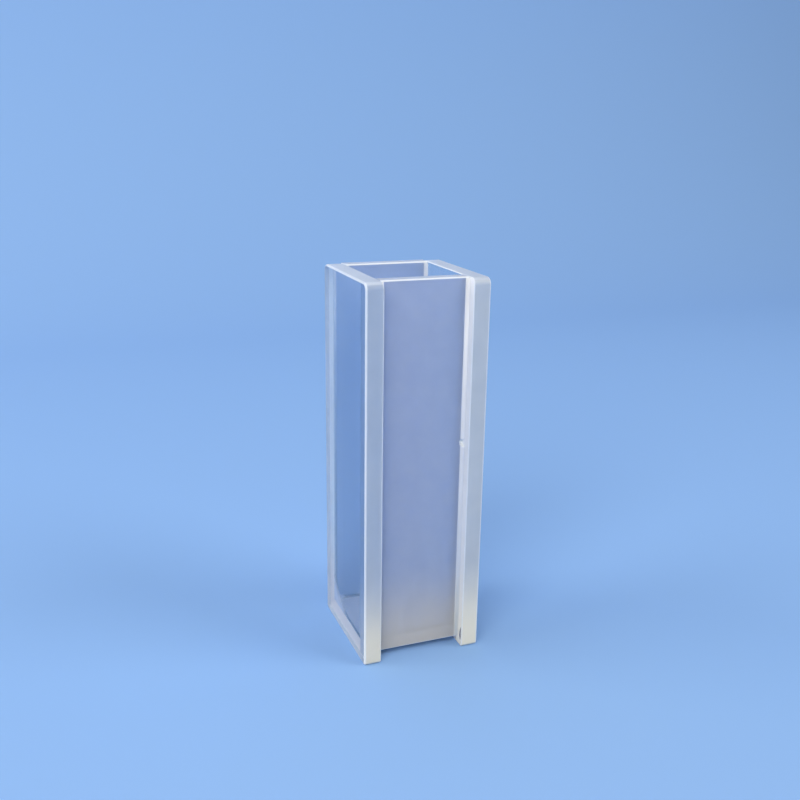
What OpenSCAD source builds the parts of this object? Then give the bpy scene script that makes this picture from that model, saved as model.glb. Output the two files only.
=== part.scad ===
// Rectangular spectrophotometer cell: two clear window plates with two frosted
// side walls and a base plate bonded between them. The windows are the longest
// plates. They run past the walls at the bottom, as two feet, and past the
// front wall, which leaves a shallow channel down the front. The bond leaves a
// small hollow bead in every inner corner, as part of the wall or the base.
// X crosses the windows, -Y is the front, Z = 0 is the bench under the feet.

/* [Cavity] */
// Optical path: the clear gap between the two windows
optical_path = 10; // [5:0.5:20]
// Clear gap between the two frosted walls
cavity_depth = 10; // [5:0.5:20]

/* [Windows] */
// Height of a window plate, from its foot to the rim
window_height = 43.5; // [25:0.5:60]
// Thickness of a window plate
window_thickness = 2; // [1:0.1:3]
// Radius of the two lower corners of a window plate, at its foot
window_foot_radius = 0.35; // [0.2:0.05:0.6]
// Radius of the two upper corners of a window plate, at the rim
window_crown_radius = 0.8; // [0.3:0.1:1.2]
// Bevel ground along the window's outer edges
window_bevel = 0.2; // [0.1:0.05:0.4]
// Bevel ground along the window's inner edges, where they are free
window_inner_bevel = 0.1; // [0.05:0.05:0.3]

/* [Frosted walls] */
// Thickness of a frosted side wall
wall_thickness = 1.6; // [1:0.1:2.5]
// Depth of the channel: how far the front wall lies behind the windows' edges
front_setback = 1.3; // [0.5:0.1:2.5]
// How far the back wall lies in front of the windows' back edges
back_setback = 0; // [0:0.1:1.5]
// Bevel ground along the walls' rim and their outer bottom edge
wall_bevel = 0.15; // [0.05:0.05:0.3]

/* [Bond] */
// Width of the bead that the bond leaves in an inner corner
bead_width = 0.4; // [0.2:0.05:0.5]
// How far the bead's hollow face turns away from the plates it meets
bead_slope = 15; // [10:1:30]

/* [Base] */
// Height of the feet: the gap between the bench and the base plate
foot_height = 0.75; // [0.5:0.05:2]
// Thickness of the base plate
base_thickness = 1; // [0.8:0.1:3]

/* [Wear] */
// Height of the small chip at the front wall's right-hand seam
chip_height = 25; // [10:0.5:30]
// Radius of the chip's hollow
chip_radius = 0.5; // [0.35:0.05:0.8]
// Depth of the chip's hollow
chip_depth = 0.2; // [0.05:0.05:0.3]
// Distance of the chip's centre from the seam
chip_inset = 0.15; // [0:0.05:0.4]
// Height of the pit near the foot of the right-hand window
pit_height = 1.3; // [1.2:0.1:3]
// Length of the pit, up the plate
pit_length = 1; // [0.6:0.1:1.4]
// Radius of the pit
pit_radius = 0.12; // [0.05:0.01:0.2]
// Distance of the pit behind the window's front edge
pit_inset = 0.4; // [0.3:0.05:0.9]

/* [Hidden] */
$fn = 48;

// Window plates: planes across X
window_inner_x = optical_path / 2;
window_outer_x = window_inner_x + window_thickness;

// Planes from front to back
cell_depth = front_setback + wall_thickness + cavity_depth + wall_thickness + back_setback;
front_y = -cell_depth / 2;
back_y = cell_depth / 2;
front_wall_y = front_y + front_setback;
cavity_front_y = front_wall_y + wall_thickness;
cavity_back_y = cavity_front_y + cavity_depth;
back_wall_y = back_y - back_setback;

// Heights of the base plate's top, and of the upright beads' top, where the
// rim's bevel starts
base_top = foot_height + base_thickness;
bead_top = window_height - wall_bevel;

// The bead is no wider than the channel that it lies in
front_bead = min(bead_width, front_setback);
back_bead = min(bead_width, back_setback);

// The window's inner edge is bevelled only where no wall comes flush with it
inner_front_bevel = min(window_inner_bevel, front_setback);
inner_back_bevel = min(window_inner_bevel, back_setback);

// One corner of an outline: a single point, or two where it is cut off.
// back and ahead are the directions along the two edges that meet there.
function cut_corner(corner, back, ahead, cut) =
    cut > 0 ? [corner + back * cut, corner + ahead * cut] : [corner];

// Rectangle from low to high with its corners cut, counted from the low
// corner anticlockwise
module cut_rectangle(low, high, cuts) {
    polygon(concat(
        cut_corner(low, [0, 1], [1, 0], cuts[0]),
        cut_corner([high.x, low.y], [-1, 0], [0, 1], cuts[1]),
        cut_corner(high, [0, -1], [-1, 0], cuts[2]),
        cut_corner([low.x, high.y], [1, 0], [0, -1], cuts[3])
    ));
}

// Rectangle from low to high with round corners: foot is the radius of the two
// lower ones and crown that of the two upper ones
module round_rectangle(low, high, foot, crown) {
    size = high - low;
    middle = size.y / 2;
    translate(low + [0, foot])
        square([size.x, size.y - foot - crown]);
    translate(low + [foot, 0])
        square([size.x - 2 * foot, middle]);
    translate(low + [crown, middle])
        square([size.x - 2 * crown, size.y - middle]);
    for (x = [low.x + foot, high.x - foot])
        translate([x, low.y + foot])
            circle(r = foot);
    for (x = [low.x + crown, high.x - crown])
        translate([x, high.y - crown])
            circle(r = crown);
}

// Outline of a bead in the corner at the origin, between the two axes. Its
// hollow face is an arc that meets each axis at bead_slope. The square reaches
// to the arc's centre, so that the arc crosses its sides and not its corners.
module bead_outline(width) {
    centre = width / (1 - tan(bead_slope));
    difference() {
        square(centre);
        translate([centre, centre])
            circle(r = norm([centre - width, centre]));
    }
}

// Extrudes an outline drawn in Y and Z along X
module along_x(from, to) {
    translate([from, 0, 0])
        rotate([90, 0, 90])
            linear_extrude(to - from)
                children();
}

// Extrudes an outline drawn in X and Z along Y
module along_y(from, to) {
    translate([0, to, 0])
        rotate([90, 0, 0])
            linear_extrude(to - from)
                children();
}

// Upright beads at both ends of a wall's face. The face looks back, along +Y, or
// forward, along -Y, and bottom is where the beads start.
module wall_beads(face_y, looks_back, width, bottom) {
    if (width > 0) {
        corner_bead([-window_inner_x, face_y], looks_back ? 0 : 270, width, bottom);
        corner_bead([window_inner_x, face_y], looks_back ? 90 : 180, width, bottom);
    }
}

// One upright bead, turned to fill its corner
module corner_bead(corner, turn, width, bottom) {
    translate([corner.x, corner.y, bottom])
        rotate(turn)
            linear_extrude(bead_top - bottom)
                bead_outline(width);
}

// The ring of beads on top of the base, along both walls and both windows
module base_beads() {
    along_x(-window_inner_x, window_inner_x) {
        translate([cavity_front_y, base_top])
            bead_outline(bead_width);
        translate([cavity_back_y, base_top])
            rotate(90)
                bead_outline(bead_width);
    }
    along_y(cavity_front_y, cavity_back_y) {
        translate([-window_inner_x, base_top])
            bead_outline(bead_width);
        translate([window_inner_x, base_top])
            rotate(90)
                bead_outline(bead_width);
    }
}

// The right-hand window: the plate that its three outlines have in common
module window_plate() {
    intersection() {
        linear_extrude(window_height)
            cut_rectangle(
                [window_inner_x, front_y], [window_outer_x, back_y],
                [inner_front_bevel, window_bevel, window_bevel, inner_back_bevel]);
        along_y(front_y, back_y)
            cut_rectangle(
                [window_inner_x, 0], [window_outer_x, window_height],
                [window_inner_bevel, window_bevel, window_bevel, window_inner_bevel]);
        along_x(window_inner_x, window_outer_x)
            round_rectangle(
                [front_y, 0], [back_y, window_height], window_foot_radius, window_crown_radius);
    }
}

// A pit in the right-hand window's face, inside the channel
module pit() {
    straight = pit_length - 2 * pit_radius;
    translate([window_inner_x, front_y + pit_inset, pit_height]) {
        cylinder(r = pit_radius, h = straight, center = true);
        for (end = [-1, 1])
            translate([0, 0, end * straight / 2])
                sphere(r = pit_radius);
    }
}

// A shallow chip in the front wall's face, cut off by the seam
module chip() {
    translate([window_inner_x - chip_inset, front_wall_y + chip_depth - chip_radius, chip_height])
        sphere(r = chip_radius);
}

module window_left() {
    color("lightsteelblue", 0.4)
        mirror([1, 0, 0])
            window_plate();
}

module window_right() {
    color("lightsteelblue", 0.4)
        difference() {
            window_plate();
            pit();
        }
}

module frosted_wall_front() {
    color("lavender", 0.85)
        difference() {
            union() {
                along_x(-window_inner_x, window_inner_x)
                    cut_rectangle(
                        [front_wall_y, foot_height], [cavity_front_y, window_height],
                        [wall_bevel, 0, wall_bevel, wall_bevel]);
                wall_beads(front_wall_y, false, front_bead, foot_height + wall_bevel);
                wall_beads(cavity_front_y, true, bead_width, base_top);
            }
            base_beads();
            chip();
        }
}

module frosted_wall_back() {
    color("lavender", 0.85)
        difference() {
            union() {
                along_x(-window_inner_x, window_inner_x)
                    cut_rectangle(
                        [cavity_back_y, foot_height], [back_wall_y, window_height],
                        [0, wall_bevel, wall_bevel, wall_bevel]);
                wall_beads(cavity_back_y, false, bead_width, base_top);
                wall_beads(back_wall_y, true, back_bead, foot_height + wall_bevel);
            }
            base_beads();
        }
}

module base_plate() {
    color("lavender", 0.7) {
        translate([-window_inner_x, cavity_front_y, foot_height])
            cube([optical_path, cavity_depth, base_thickness]);
        base_beads();
    }
}

window_left();
window_right();
frosted_wall_front();
frosted_wall_back();
base_plate();
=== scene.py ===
import math

import bmesh
import bpy
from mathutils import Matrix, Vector, noise


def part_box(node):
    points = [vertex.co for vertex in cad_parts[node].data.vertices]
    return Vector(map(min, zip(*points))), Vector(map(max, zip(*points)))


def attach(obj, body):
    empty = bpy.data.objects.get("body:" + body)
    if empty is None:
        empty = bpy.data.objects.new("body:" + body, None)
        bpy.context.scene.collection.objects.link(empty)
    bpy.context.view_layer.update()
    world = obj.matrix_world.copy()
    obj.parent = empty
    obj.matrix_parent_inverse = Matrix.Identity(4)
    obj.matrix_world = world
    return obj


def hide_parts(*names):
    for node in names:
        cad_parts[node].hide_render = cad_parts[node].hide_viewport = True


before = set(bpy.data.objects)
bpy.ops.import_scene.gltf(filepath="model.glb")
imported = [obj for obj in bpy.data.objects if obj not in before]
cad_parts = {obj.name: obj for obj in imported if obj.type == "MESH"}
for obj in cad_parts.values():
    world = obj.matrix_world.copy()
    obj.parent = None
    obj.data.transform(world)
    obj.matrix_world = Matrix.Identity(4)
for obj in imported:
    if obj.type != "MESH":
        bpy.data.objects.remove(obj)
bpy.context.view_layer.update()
mm = 0.001  # lengths are written in millimetres and multiplied by this
print("frame loaded")


# the camera stands in front of the cell, a little to the left of it and above it
camera = {
    "place": (-37.151, -94.587, 58.903),  # from the middle of the cell's foot
    "turn": 21.266,  # degrees from straight ahead towards +X
    "dip": 16.563,
    "roll": 0.847,
    "lens": 41.915,
    "nearest": 1,  # what lies closer isn't drawn
}


def addCamera():
    turn, dip, roll = (math.radians(camera[key]) for key in ("turn", "dip", "roll"))
    ahead = Vector((math.sin(turn) * math.cos(dip), math.cos(turn) * math.cos(dip), -math.sin(dip)))
    data = bpy.data.cameras.new("camera")
    data.lens = camera["lens"]
    data.clip_start = camera["nearest"] * mm
    data.dof.use_dof = False
    made = bpy.data.objects.new("camera", data)
    bpy.context.scene.collection.objects.link(made)
    made.location = Vector(camera["place"]) * mm
    look = ahead.to_track_quat("-Z", "Y").to_euler()
    look.rotate_axis("Z", roll)
    made.rotation_euler = look
    bpy.context.scene.camera = made


addCamera()

bond = {"width": 0.4, "slope": 15, "steps": 6}  # the bead in each inner corner
beadWidth = bond["width"] * mm

# the planes of the plates, without the beads that stand off them
frontBox, backBox, baseBox = (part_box(n) for n in ("frosted_wall_front", "frosted_wall_back", "base_plate"))
frontFaceY = frontBox[0].y + beadWidth
cavityFrontY = frontBox[1].y - beadWidth
cavityBackY = backBox[0].y + beadWidth
backFaceY = backBox[1].y
baseTop = baseBox[1].z - beadWidth


# shader maths: a wire is a socket that takes part in sums
class Wire:
    def __init__(self, finish, socket):
        self.finish = finish
        self.socket = socket

    def __add__(self, other):
        return self.finish.maths("ADD", self, other)

    __radd__ = __add__

    def __mul__(self, other):
        return self.finish.maths("MULTIPLY", self, other)

    __rmul__ = __mul__

    def __sub__(self, other):
        return self.finish.maths("SUBTRACT", self, other)

    def __rsub__(self, other):
        return self.finish.maths("SUBTRACT", other, self)


class Finish:
    def __init__(self, owner):
        owner.use_nodes = True
        self.tree = owner.node_tree
        self.tree.nodes.clear()

    def node(self, kind, settings=None, sockets=None, out=0):
        made = self.tree.nodes.new(kind)
        for key, value in (settings or {}).items():
            setattr(made, key, value)
        for key, value in (sockets or {}).items():
            if isinstance(value, Wire):
                self.tree.links.new(value.socket, made.inputs[key])
            else:
                made.inputs[key].default_value = value
        return Wire(self, made.outputs[out]) if made.outputs else made

    def maths(self, operation, first, second):
        return self.node("ShaderNodeMath", {"operation": operation}, {0: first, 1: second})

    def mixColours(self, share, first, second):
        # 6 and 7 are the colour sockets of a Mix node, and output 2 is its colour
        return self.node("ShaderNodeMix", {"data_type": "RGBA"}, {0: share, 6: first, 7: second}, out=2)

    def clouds(self, spot, scale, detail, rough):
        return self.node("ShaderNodeTexNoise", {}, {
            "Vector": spot, "Scale": scale, "Detail": detail, "Roughness": rough})


# colours are written as sRGB, from 0 to 255, and turned to what the shader takes
def colour(red, green, blue):
    parts = [value / 255 for value in (red, green, blue)]
    return [part / 12.92 if part < 0.04045 else ((part + 0.055) / 1.055) ** 2.4 for part in parts] + [1]


def place(finish):
    return finish.node("ShaderNodeTexCoord", out="Object")


cloudMiddle = 0.5  # what the values of clouds lie around

clear = {"ior": 1.47, "tint": (246, 250, 254), "rough": 0.004}
smudge = {"patch": 160, "from": 0.52, "full": 0.8, "rough": 0.03}  # finger marks, where the clouds are thick
# a smear of bond in the lower back corner of the left window, with its reach across, along and up
smear = {
    "reach": (2, 6.4, 4.4), "full": 0.35, "patch": 900, "ragged": 0.5, "share": 0.85,
    "tint": (232, 234, 246), "rough": 0.5,
}


def smudged(finish, spot):
    cloud = finish.clouds(spot, smudge["patch"], detail=3, rough=0.5)
    marks = finish.node("ShaderNodeMapRange", {}, {
        "Value": cloud, "From Min": smudge["from"], "From Max": smudge["full"]})
    return marks * smudge["rough"] + clear["rough"]


def smearShare(finish, spot):
    # full in the corner where the left window, the back wall and the base meet, and none away from it
    corner = (baseBox[0].x, baseBox[1].y, baseTop)
    fromCorner = finish.node("ShaderNodeVectorMath", {"operation": "SUBTRACT"}, {0: spot, 1: corner})
    apart = finish.node("ShaderNodeVectorMath", {"operation": "ABSOLUTE"}, {0: fromCorner})
    away = finish.node("ShaderNodeVectorMath", {"operation": "DOT_PRODUCT"}, {
        0: apart, 1: [1 / (reach * mm) for reach in smear["reach"]]}, out="Value")
    cloud = finish.clouds(spot, smear["patch"], detail=2, rough=0.6)
    near = finish.node("ShaderNodeMapRange", {"interpolation_type": "SMOOTHSTEP"}, {
        "Value": away + (cloud - cloudMiddle) * smear["ragged"], "From Min": 1, "From Max": smear["full"]})
    return near * smear["share"]


def polishedGlass():
    material = bpy.data.materials.new("polished_glass")
    finish = Finish(material)
    spot = place(finish)
    glass = finish.node("ShaderNodeBsdfPrincipled", {}, {
        "Base Color": colour(*clear["tint"]), "Roughness": smudged(finish, spot), "IOR": clear["ior"],
        "Transmission Weight": 1.0})
    bondSkin = finish.node("ShaderNodeBsdfPrincipled", {}, {
        "Base Color": colour(*smear["tint"]), "Roughness": smear["rough"], "IOR": clear["ior"]})
    mixed = finish.node("ShaderNodeMixShader", {}, {0: smearShare(finish, spot), 1: glass, 2: bondSkin})
    finish.node("ShaderNodeOutputMaterial", {}, {"Surface": mixed})
    return material


# fine ground glass: milk is the share of the surface that scatters light back, and footGlow is what is added
# to it at the foot, where the tint goes over to the foot colour: a painted glow, whiter and warmer low down,
# standing for light thrown up from below
grinds = {
    "wall_face": {
        "milk": 0.39, "footGlow": 0.19, "rough": 0.5,
        "dark": (196, 206, 228), "light": (213, 221, 239), "foot": (221, 214, 203)},
    "inner_face": {
        "milk": 0.39, "footGlow": 0, "rough": 0.5,
        "dark": (184, 202, 232), "light": (200, 216, 242), "foot": (180, 200, 236)},
    # the window's ground face in the channel, whitened well past the wall faces: painted light from the left
    # falling into the channel
    "lit_channel_face": {
        "milk": 0.88, "footGlow": 0.1, "rough": 0.5,
        "dark": (247, 247, 247), "light": (253, 252, 252), "foot": (254, 247, 234)},
    "left_edge": {
        "milk": 0.37, "footGlow": 0.44, "rough": 0.45,
        "dark": (192, 203, 218), "light": (208, 217, 230), "foot": (238, 230, 209)},
    # a milkier, lighter copy of the left edge's grind: painted light from the right front on the right
    # window's front end
    "right_edge_painted_lit": {
        "milk": 0.56, "footGlow": 0.36, "rough": 0.45,
        "dark": (208, 215, 222), "light": (222, 227, 232), "foot": (242, 235, 215)},
    "back_edge": {
        "milk": 0.84, "footGlow": 0.1, "rough": 0.45,
        "dark": (228, 236, 248), "light": (240, 245, 252), "foot": (240, 242, 244)},
    "rim": {
        "milk": 0.52, "footGlow": 0, "rough": 0.45,
        "dark": (216, 224, 236), "light": (230, 236, 246), "foot": (230, 236, 246)},
    "outer_arris": {
        "milk": 0.68, "footGlow": 0.25, "rough": 0.4,
        "dark": (236, 242, 251), "light": (248, 250, 255), "foot": (246, 245, 240)},
    "inner_arris": {
        "milk": 0.82, "footGlow": 0.1, "rough": 0.45,
        "dark": (238, 243, 250), "light": (248, 250, 254), "foot": (244, 243, 236)},
    # whitened to match the channel face beside it, so both read as one strip: partly the bond's own white,
    # partly painted light
    "bead": {
        "milk": 0.84, "footGlow": 0.14, "rough": 0.45,
        "dark": (234, 236, 240), "light": (244, 244, 247), "foot": (246, 240, 228)},
    "inner_bead": {
        "milk": 0.6, "footGlow": 0.06, "rough": 0.45,
        "dark": (222, 230, 242), "light": (236, 241, 249), "foot": (236, 238, 244)},
    # the base's ground top, milkier than the walls' faces: the extra milk is a painted glow showing through
    # the front wall's foot
    "base_top": {
        "milk": 0.74, "footGlow": 0, "rough": 0.5,
        "dark": (224, 220, 230), "light": (236, 232, 240), "foot": (238, 232, 236)},
    # the front wall's ends: a dimmer copy of the seams' grind, painted shade beside the lit seams
    "clear_seam": {
        "milk": 0.55, "footGlow": 0.25, "rough": 0.35,
        "dark": (162, 188, 224), "light": (178, 200, 232), "foot": (218, 219, 226)},
    # joints seen behind the glass: ground, so white of themselves, and whitened here almost to full milk as
    # painted light reaching them from behind and from the left
    "white_seam_painted_lit": {
        "milk": 0.95, "footGlow": 0.03, "rough": 0.5,
        "dark": (240, 247, 255), "light": (250, 253, 255), "foot": (255, 245, 240)},
    "chip": {
        "milk": 0.9, "footGlow": 0, "rough": 0.35,
        "dark": (240, 245, 248), "light": (252, 254, 255), "foot": (252, 254, 255)},
}
grain = {
    "patch": 500, "mottle": 0.12, "spread": 0.1,  # how much the milk and the roughness vary in patches
    "fine": 9000, "height": 0.004, "bump": 0.3,  # the ground surface itself
}
paintedFootGlow = {"top": 12, "full": 2}  # the painted glow at the foot whitens the ground skin between these heights


def groundGlass(name):
    grind = grinds[name]
    material = bpy.data.materials.new("ground_" + name)
    finish = Finish(material)
    spot = place(finish)
    cloud = finish.clouds(spot, grain["patch"], detail=4, rough=0.55)
    height = finish.node("ShaderNodeSeparateXYZ", {}, {"Vector": spot}, out="Z")
    # the painted glow at the foot: none above its top height, full below its full one
    footGlow = finish.node("ShaderNodeMapRange", {"interpolation_type": "SMOOTHSTEP"}, {
        "Value": height, "From Min": paintedFootGlow["top"] * mm, "From Max": paintedFootGlow["full"] * mm})
    tint = finish.mixColours(cloud, colour(*grind["dark"]), colour(*grind["light"]))
    # low down the skin's colour goes over to the foot colour: painted glow
    tintAndFootGlow = finish.mixColours(footGlow, tint, colour(*grind["foot"]))
    fine = finish.clouds(spot, grain["fine"], detail=2, rough=0.6)
    bump = finish.node("ShaderNodeBump", {}, {
        "Height": fine, "Strength": grain["bump"], "Distance": grain["height"] * mm})
    rough = cloud * grain["spread"] + grind["rough"]
    glass = finish.node("ShaderNodeBsdfPrincipled", {}, {
        "Base Color": tint, "Roughness": rough, "IOR": clear["ior"], "Transmission Weight": 1.0,
        "Normal": bump})
    skin = finish.node("ShaderNodeBsdfPrincipled", {}, {
        "Base Color": tintAndFootGlow, "Roughness": rough, "IOR": clear["ior"], "Normal": bump})
    # low down the milk grows by the painted glow at the foot
    share = (cloud - cloudMiddle) * grain["mottle"] + footGlow * grind["footGlow"] + grind["milk"]
    mixed = finish.node("ShaderNodeMixShader", {}, {0: share, 1: glass, 2: skin})
    finish.node("ShaderNodeOutputMaterial", {}, {"Surface": mixed})
    return material


# the pit is filled with a dark bluish colour
pitDark = {"tint": (62, 76, 112), "rough": 0.7, "spread": 0.2, "patch": 6000}


def darkInPit():
    material = bpy.data.materials.new("dark_in_pit")
    finish = Finish(material)
    cloud = finish.clouds(place(finish), pitDark["patch"], detail=2, rough=0.5)
    darkFill = finish.node("ShaderNodeBsdfPrincipled", {}, {
        "Base Color": colour(*pitDark["tint"]), "Roughness": cloud * pitDark["spread"] + pitDark["rough"]})
    finish.node("ShaderNodeOutputMaterial", {}, {"Surface": darkFill})
    return material


# every finish by name; a face's material index is its place in this list until the piece is made
finishes = {"polished": polishedGlass(), **{name: groundGlass(name) for name in grinds}, "pit": darkInPit()}
finishNames = list(finishes)
print("finishes made")


def paint(face, name):
    face.material_index = finishNames.index(name)


jointGap = 0.012 * mm  # the bonded faces stay this far apart, so that none coincide
bondEdge = 0.25 * mm  # the ground skin of the channel runs this far in behind the wall
onPlane = 1e-9  # a point this near a cutting plane lies on it
weldWithin = 0.0005 * mm


def beadHeight(away):
    # how far the hollow bead stands off a face, this far from the face beside it
    if away >= beadWidth:
        return 0
    centre = beadWidth / (1 - math.tan(math.radians(bond["slope"])))
    radius = math.hypot(centre - beadWidth, centre)
    return centre - math.sqrt(radius ** 2 - (centre - away) ** 2)


def pieceFrom(name, mesh, node):
    bmesh.ops.recalc_face_normals(mesh, faces=mesh.faces)
    used = sorted({face.material_index for face in mesh.faces})
    for face in mesh.faces:
        face.material_index = used.index(face.material_index)
    data = bpy.data.meshes.new(name)
    mesh.to_mesh(data)
    mesh.free()
    for number in used:
        data.materials.append(finishes[finishNames[number]])
    piece = bpy.data.objects.new(name, data)
    bpy.context.scene.collection.objects.link(piece)
    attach(piece, "root")
    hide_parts(node)
    return piece


def carve(piece, mesh, finish):
    # cuts the shape of mesh out of the piece, and gives the cut faces their finish
    for face in mesh.faces:
        face.smooth = True
    data = bpy.data.meshes.new("cutter")
    mesh.to_mesh(data)
    mesh.free()
    data.materials.append(finishes[finish])
    cutter = bpy.data.objects.new("cutter", data)
    bpy.context.scene.collection.objects.link(cutter)
    cut = piece.modifiers.new("cut", "BOOLEAN")
    cut.object = cutter
    cut.operation = "DIFFERENCE"
    cut.solver = "EXACT"
    cut.material_mode = "TRANSFER"
    bpy.context.view_layer.update()
    whole = piece.data
    carved = bpy.data.meshes.new_from_object(piece.evaluated_get(bpy.context.evaluated_depsgraph_get()))
    piece.modifiers.clear()
    piece.data = carved
    carved.name = piece.name
    bpy.data.meshes.remove(whole)
    bpy.data.objects.remove(cutter)
    bpy.data.meshes.remove(data)


def roundOutline(low, high, foot, crown, steps):
    # corner arcs, anticlockwise from the low corner: foot and crown are the lower and upper radii
    corners = [
        (low[0] + foot, low[1] + foot, foot, 180),
        (high[0] - foot, low[1] + foot, foot, 270),
        (high[0] - crown, high[1] - crown, crown, 0),
        (low[0] + crown, high[1] - crown, crown, 90),
    ]
    points = []
    for y, z, radius, start in corners:
        for step in range(steps + 1):
            angle = math.radians(start + 90 * step / steps)
            points.append((y + radius * math.cos(angle), z + radius * math.sin(angle)))
    return points


window = {
    "footRadius": 0.35, "crownRadius": 0.8, "cornerSteps": 10,
    "outerBevel": 0.2, "innerBevel": 0.1, "bevelSteps": 4,
}


def windowRings(low, high, side):
    # from the inner face to the outer one: x, how far in the outline lies, and how far at the back,
    # where the inner corner stays sharp, because the back wall comes flush with it
    steps = window["bevelSteps"]
    inner, outer = window["innerBevel"] * mm, window["outerBevel"] * mm
    innerX, outerX = (low.x, high.x) if side > 0 else (high.x, low.x)
    rings = []
    for step in range(steps + 1):
        angle = math.radians(90 * step / steps)
        rings.append((innerX + side * inner * (1 - math.cos(angle)), inner * (1 - math.sin(angle)), 0))
    for step in range(steps + 1):
        angle = math.radians(90 * step / steps)
        inset = outer * (1 - math.cos(angle))
        rings.append((outerX - side * outer * (1 - math.sin(angle)), inset, inset))
    return rings


def cutFaces(mesh, faces, point, normal):
    parts = set(faces)
    for face in faces:
        parts.update(face.edges)
        parts.update(face.verts)
    cut = bmesh.ops.bisect_plane(mesh, geom=list(parts), plane_co=point, plane_no=normal, dist=onPlane)
    return [item for item in cut["geom"] if isinstance(item, bmesh.types.BMFace)]


def innerFinish(centre):
    # what a patch of the window's inner face meets
    if centre.y < frontFaceY + bondEdge:
        return "lit_channel_face"
    if centre.y < cavityFrontY:
        return "clear_seam"
    if centre.y > cavityBackY or centre.z < baseTop:
        return "white_seam_painted_lit"
    return "polished"


def makeWindow(name, node, side, edge):
    low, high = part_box(node)
    foot, crown = window["footRadius"] * mm, window["crownRadius"] * mm
    mesh = bmesh.new()
    rings = []
    for x, inset, backInset in windowRings(low, high, side):
        cut = max(inset, backInset)
        outline = roundOutline(
            (low.y + inset, low.z + inset), (high.y - backInset, high.z - inset),
            foot - cut, crown - cut, window["cornerSteps"])
        rings.append([mesh.verts.new((x, y, z)) for y, z in outline])
    count = len(rings[0])
    perCorner = window["cornerSteps"] + 1
    rimFrom, frontUpTo = high.z - crown / 4, low.y + crown / 2
    for number, (ring, beyond) in enumerate(zip(rings, rings[1:])):
        isEdge = number == window["bevelSteps"]  # the band between the two bevels
        for at in range(count):
            after = (at + 1) % count
            face = mesh.faces.new([ring[at], ring[after], beyond[after], beyond[at]])
            face.smooth = not (isEdge and at % perCorner == perCorner - 1)
            middle = (ring[at].co + ring[after].co) / 2
            if isEdge:
                paint(face, "rim" if middle.z > rimFrom else edge if middle.y < frontUpTo else "back_edge")
            else:
                paint(face, "inner_arris" if number < window["bevelSteps"] else "outer_arris")
    parts = [mesh.faces.new(rings[0])]
    paint(mesh.faces.new(rings[-1]), "polished")
    for y in (frontFaceY + bondEdge, cavityFrontY, cavityBackY):
        parts = cutFaces(mesh, parts, (0, y, 0), (0, 1, 0))
    parts = cutFaces(mesh, parts, (0, 0, baseTop), (0, 0, 1))
    for face in parts:
        paint(face, innerFinish(face.calc_center_median()))
    return pieceFrom(name, mesh, node)


wall = {"bevel": 0.15, "bevelSteps": 4, "beadEnd": 0.5}  # beadEnd: how much a bead's end slopes


def arc(centreD, centreZ, radius, start, steps):
    turns = (math.radians(start + 90 * step / steps) for step in range(steps + 1))
    return [(centreD + radius * math.cos(turn), centreZ + radius * math.sin(turn)) for turn in turns]


def finished(points, along, after):
    # each point with the finish of the stretch that follows it
    return [(point, along) for point in points[:-1]] + [(points[-1], after)]


def wallSection(thick, bottom, top, away, hasChannelBead):
    # depth from the outer face and height, anticlockwise, this far from the window beside it
    bevel, steps = wall["bevel"] * mm, wall["bevelSteps"]
    inner = beadHeight(away)
    outer = inner if hasChannelBead else 0
    slope = wall["beadEnd"]
    points = finished(arc(bevel, bottom + bevel, bevel, 180, steps), "outer_arris", "wall_face")
    points += [
        ((thick, bottom), "white_seam_painted_lit"),
        ((thick, baseTop), "inner_face"),
        ((thick, baseTop + beadWidth), "inner_bead"),
        ((thick + inner, baseTop + max(inner, beadHeight(inner))), "inner_bead"),
        ((thick + inner, top - bevel - slope * inner), "inner_bead"),
    ]
    points += finished(arc(thick - bevel, top - bevel, bevel, 0, steps), "inner_arris", "rim")
    points += finished(arc(bevel, top - bevel, bevel, 90, steps), "inner_arris", "bead")
    points += [
        ((-outer, top - bevel - slope * outer), "bead"),
        ((-outer, bottom + bevel + slope * outer), "bead"),
    ]
    return points


def makeWall(name, node, outerY, innerY, hasChannelBead, seam, cuts=()):
    # sections from window to window, close together in the beads and none between them
    low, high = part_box(node)
    inward = 1 if innerY > outerY else -1
    thick = abs(innerY - outerY)
    steps = bond["steps"]
    near = [jointGap + (beadWidth - jointGap) * step / steps for step in range(steps + 1)]
    stations = [(low.x + away, away) for away in near] + [(high.x - away, away) for away in reversed(near)]
    mesh = bmesh.new()
    rings = []
    for x, away in stations:
        section = wallSection(thick, low.z, high.z, away, hasChannelBead)
        rings.append([mesh.verts.new((x, outerY + inward * depth, z)) for (depth, z), kind in section])
    kinds = [kind for point, kind in section]  # the same in every section
    betweenBeads = {"bead": "wall_face", "inner_bead": "inner_face"}
    for number, (ring, beyond) in enumerate(zip(rings, rings[1:])):
        inBead = number != steps
        for at, kind in enumerate(kinds):
            after = (at + 1) % len(kinds)
            if not inBead:
                kind = betweenBeads.get(kind, kind)
            face = mesh.faces.new([ring[at], ring[after], beyond[after], beyond[at]])
            face.smooth = kind in ("outer_arris", "inner_arris", "bead", "inner_bead")
            paint(face, kind)
    for ring in (rings[0], rings[-1]):
        cap = mesh.faces.new(ring)
        for edge in cap.edges:
            edge.smooth = False  # or the flat end darkens the beads beside it
        for part in cutFaces(mesh, [cap], (0, innerY, 0), (0, inward, 0)):
            isBeadEnd = (part.calc_center_median().y - innerY) * inward > 0
            paint(part, "polished" if isBeadEnd else seam)
    bmesh.ops.remove_doubles(mesh, verts=mesh.verts, dist=weldWithin)
    for z in cuts:  # short faces beside a later cut keep its shading to themselves
        whole = mesh.verts[:] + mesh.edges[:] + mesh.faces[:]
        bmesh.ops.bisect_plane(mesh, geom=whole, plane_co=(0, 0, z), plane_no=(0, 0, 1), dist=onPlane)
    return pieceFrom(name, mesh, node)


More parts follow.
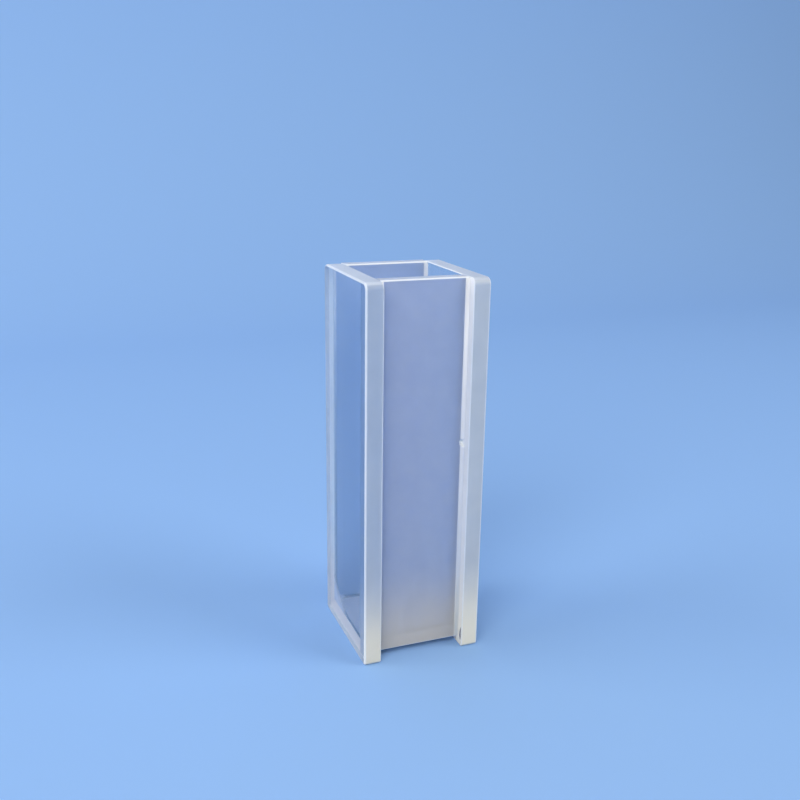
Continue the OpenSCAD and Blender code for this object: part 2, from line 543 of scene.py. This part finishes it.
def makeBase():
    # nested rectangles: up the sides, over the ring of beads and onto the top
    low, high = baseBox
    steps = bond["steps"]
    insets = [beadWidth * step / steps for step in range(steps + 1)]
    levels = [(0, low.z), (0, baseTop)] + [(inset, baseTop + beadHeight(inset)) for inset in insets]
    # the beads' innermost, lowest ring, where they run onto the base's top, takes the white inner arris
    # grind: a painted highlight line
    kinds = ["white_seam_painted_lit"] + ["polished"] * steps + ["inner_arris"]
    mesh = bmesh.new()
    rings = []
    for inset, z in levels:
        left, right = low.x + jointGap + inset, high.x - jointGap - inset
        front, back = low.y + jointGap + inset, high.y - jointGap - inset
        corners = ((left, front), (right, front), (right, back), (left, back))
        rings.append([mesh.verts.new((x, y, z)) for x, y in corners])
    for number, (ring, above, kind) in enumerate(zip(rings, rings[1:], kinds)):
        isUpright = number < 2  # the plate's sides, and the beads' ends above them
        for at in range(4):
            after = (at + 1) % 4
            face = mesh.faces.new([ring[at], ring[after], above[after], above[at]])
            face.smooth = not isUpright
            paint(face, kind)
            if isUpright:
                mesh.edges.get((above[at], above[after])).smooth = False
    paint(mesh.faces.new(rings[0]), "wall_face")
    paint(mesh.faces.new(rings[-1]), "base_top")
    return pieceFrom("base_dressed", mesh, "base_plate")


# wear: a shallow chip where the front wall meets the right window, and a pit low in that window
chip = {
    "height": 25, "radius": 0.5, "depth": 0.2, "inset": 0.15,
    "cuts": (-1.2, -1.05, 1.05, 1.2),  # the wall is cut across above and below the chip, in its radius
}
pit = {"height": 1.3, "radius": 0.16, "inset": 0.4, "up": 1.05, "down": 0.5}  # up and down from its height
lumps = {"share": 0.3, "close": 1.7}  # how far they change the radius of both hollows, and how close they lie


def lumpAt(radius, centre, up=1, down=1):
    # a lumpy ball whose upper and lower halves are drawn out by the factors up and down
    mesh = bmesh.new()
    bmesh.ops.create_uvsphere(mesh, u_segments=24, v_segments=16, radius=radius)
    for vert in mesh.verts:
        vert.co *= 1 + lumps["share"] * noise.noise(vert.co * (lumps["close"] / radius))
        vert.co.z *= up if vert.co.z > 0 else down
        vert.co += Vector(centre)
    return mesh


def chipWall(piece):
    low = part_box("window_right")[0]
    radius = chip["radius"] * mm
    middle = (low.x - chip["inset"] * mm, frontFaceY + chip["depth"] * mm - radius, chip["height"] * mm)
    carve(piece, lumpAt(radius, middle), "chip")


def pitWindow(piece):
    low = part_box("window_right")[0]
    middle = (low.x, low.y + pit["inset"] * mm, pit["height"] * mm)
    up, down = pit["up"] / pit["radius"], pit["down"] / pit["radius"]
    carve(piece, lumpAt(pit["radius"] * mm, middle, up, down), "pit")


makeWindow("window_left_dressed", "window_left", -1, "left_edge")
rightWindow = makeWindow("window_right_dressed", "window_right", 1, "right_edge_painted_lit")
besideChip = [(chip["height"] + share * chip["radius"]) * mm for share in chip["cuts"]]
frontWall = makeWall(
    "wall_front_dressed", "frosted_wall_front", frontFaceY, cavityFrontY, True, "clear_seam", besideChip)
makeWall("wall_back_dressed", "frosted_wall_back", backFaceY, cavityBackY, False, "white_seam_painted_lit")
makeBase()
chipWall(frontWall)
pitWindow(rightWindow)
print("plates made")


# a floor that curves up into a backdrop; the drop keeps it just clear of the feet
room = {
    "tint": (140, 178, 228), "rough": 0.9, "drop": 0.03, "width": 1000, "front": 520, "depth": 320,
    "height": 1400, "curve": 160, "steps": 24,
}


def makeRoom():
    material = bpy.data.materials.new("pale_paper")
    finish = Finish(material)
    paper = finish.node("ShaderNodeBsdfPrincipled", {}, {
        "Base Color": colour(*room["tint"]), "Roughness": room["rough"], "Specular IOR Level": 0})
    finish.node("ShaderNodeOutputMaterial", {}, {"Surface": paper})
    curve = room["curve"]
    line = [(-room["front"], 0)]
    for step in range(room["steps"] + 1):
        angle = math.radians(90 * step / room["steps"])
        line.append((room["depth"] - curve + curve * math.sin(angle), curve - curve * math.cos(angle)))
    line.append((room["depth"], room["height"]))
    half = room["width"] / 2
    verts = [(x * mm, y * mm, (z - room["drop"]) * mm) for y, z in line for x in (-half, half)]
    faces = [(2 * at, 2 * at + 1, 2 * at + 3, 2 * at + 2) for at in range(len(line) - 1)]
    data = bpy.data.meshes.new("room")
    data.from_pydata(verts, [], faces)
    data.polygons.foreach_set("use_smooth", [True] * len(faces))
    data.materials.append(material)
    made = bpy.data.objects.new("room", data)
    bpy.context.scene.collection.objects.link(made)


makeRoom()

lampsAim = (0, 0, 20)
lamps = {
    "key": {"place": (-345, -412, 390), "size": 460, "power": 2.7, "tint": (255, 250, 240)},
    "side": {"place": (-510, 110, 380), "size": 400, "power": 1.55, "tint": (255, 252, 246)},
    "fill": {"place": (410, -290, 380), "size": 380, "power": 1.6, "tint": (255, 252, 246)},
    "top": {"place": (0, 60, 560), "size": 500, "power": 0.7, "tint": (255, 252, 246)},
}


def addLamps():
    for name, lamp in lamps.items():
        data = bpy.data.lights.new(name, "AREA")
        data.shape = "DISK"
        data.size = lamp["size"] * mm
        data.energy = lamp["power"]
        data.color = colour(*lamp["tint"])[:3]
        made = bpy.data.objects.new(name, data)
        bpy.context.scene.collection.objects.link(made)
        made.location = Vector(lamp["place"]) * mm
        aim = Vector(lampsAim) * mm - made.location
        made.rotation_euler = aim.to_track_quat("-Z", "Y").to_euler()


soft = {"tint": (255, 250, 240), "strength": 0.15}  # what falls in from all sides


def addWorld():
    # what is seen past the room has the floor's colour, whatever light falls in
    world = bpy.data.worlds.new("soft_room")
    finish = Finish(world)
    light = finish.node("ShaderNodeBackground", {}, {
        "Color": colour(*soft["tint"]), "Strength": soft["strength"]})
    shown = finish.node("ShaderNodeBackground", {}, {"Color": colour(*room["tint"]), "Strength": 1})
    straight, glossy, through = (finish.node("ShaderNodeLightPath", out=ray) for ray in (
        "Is Camera Ray", "Is Glossy Ray", "Is Transmission Ray"))
    backdrop = finish.node("ShaderNodeMixShader", {}, {0: straight + glossy + through, 1: light, 2: shown})
    finish.node("ShaderNodeOutputWorld", {}, {"Surface": backdrop})
    bpy.context.scene.world = world


addLamps()
addWorld()
bpy.context.scene.view_settings.view_transform = "Standard"
print("light set")
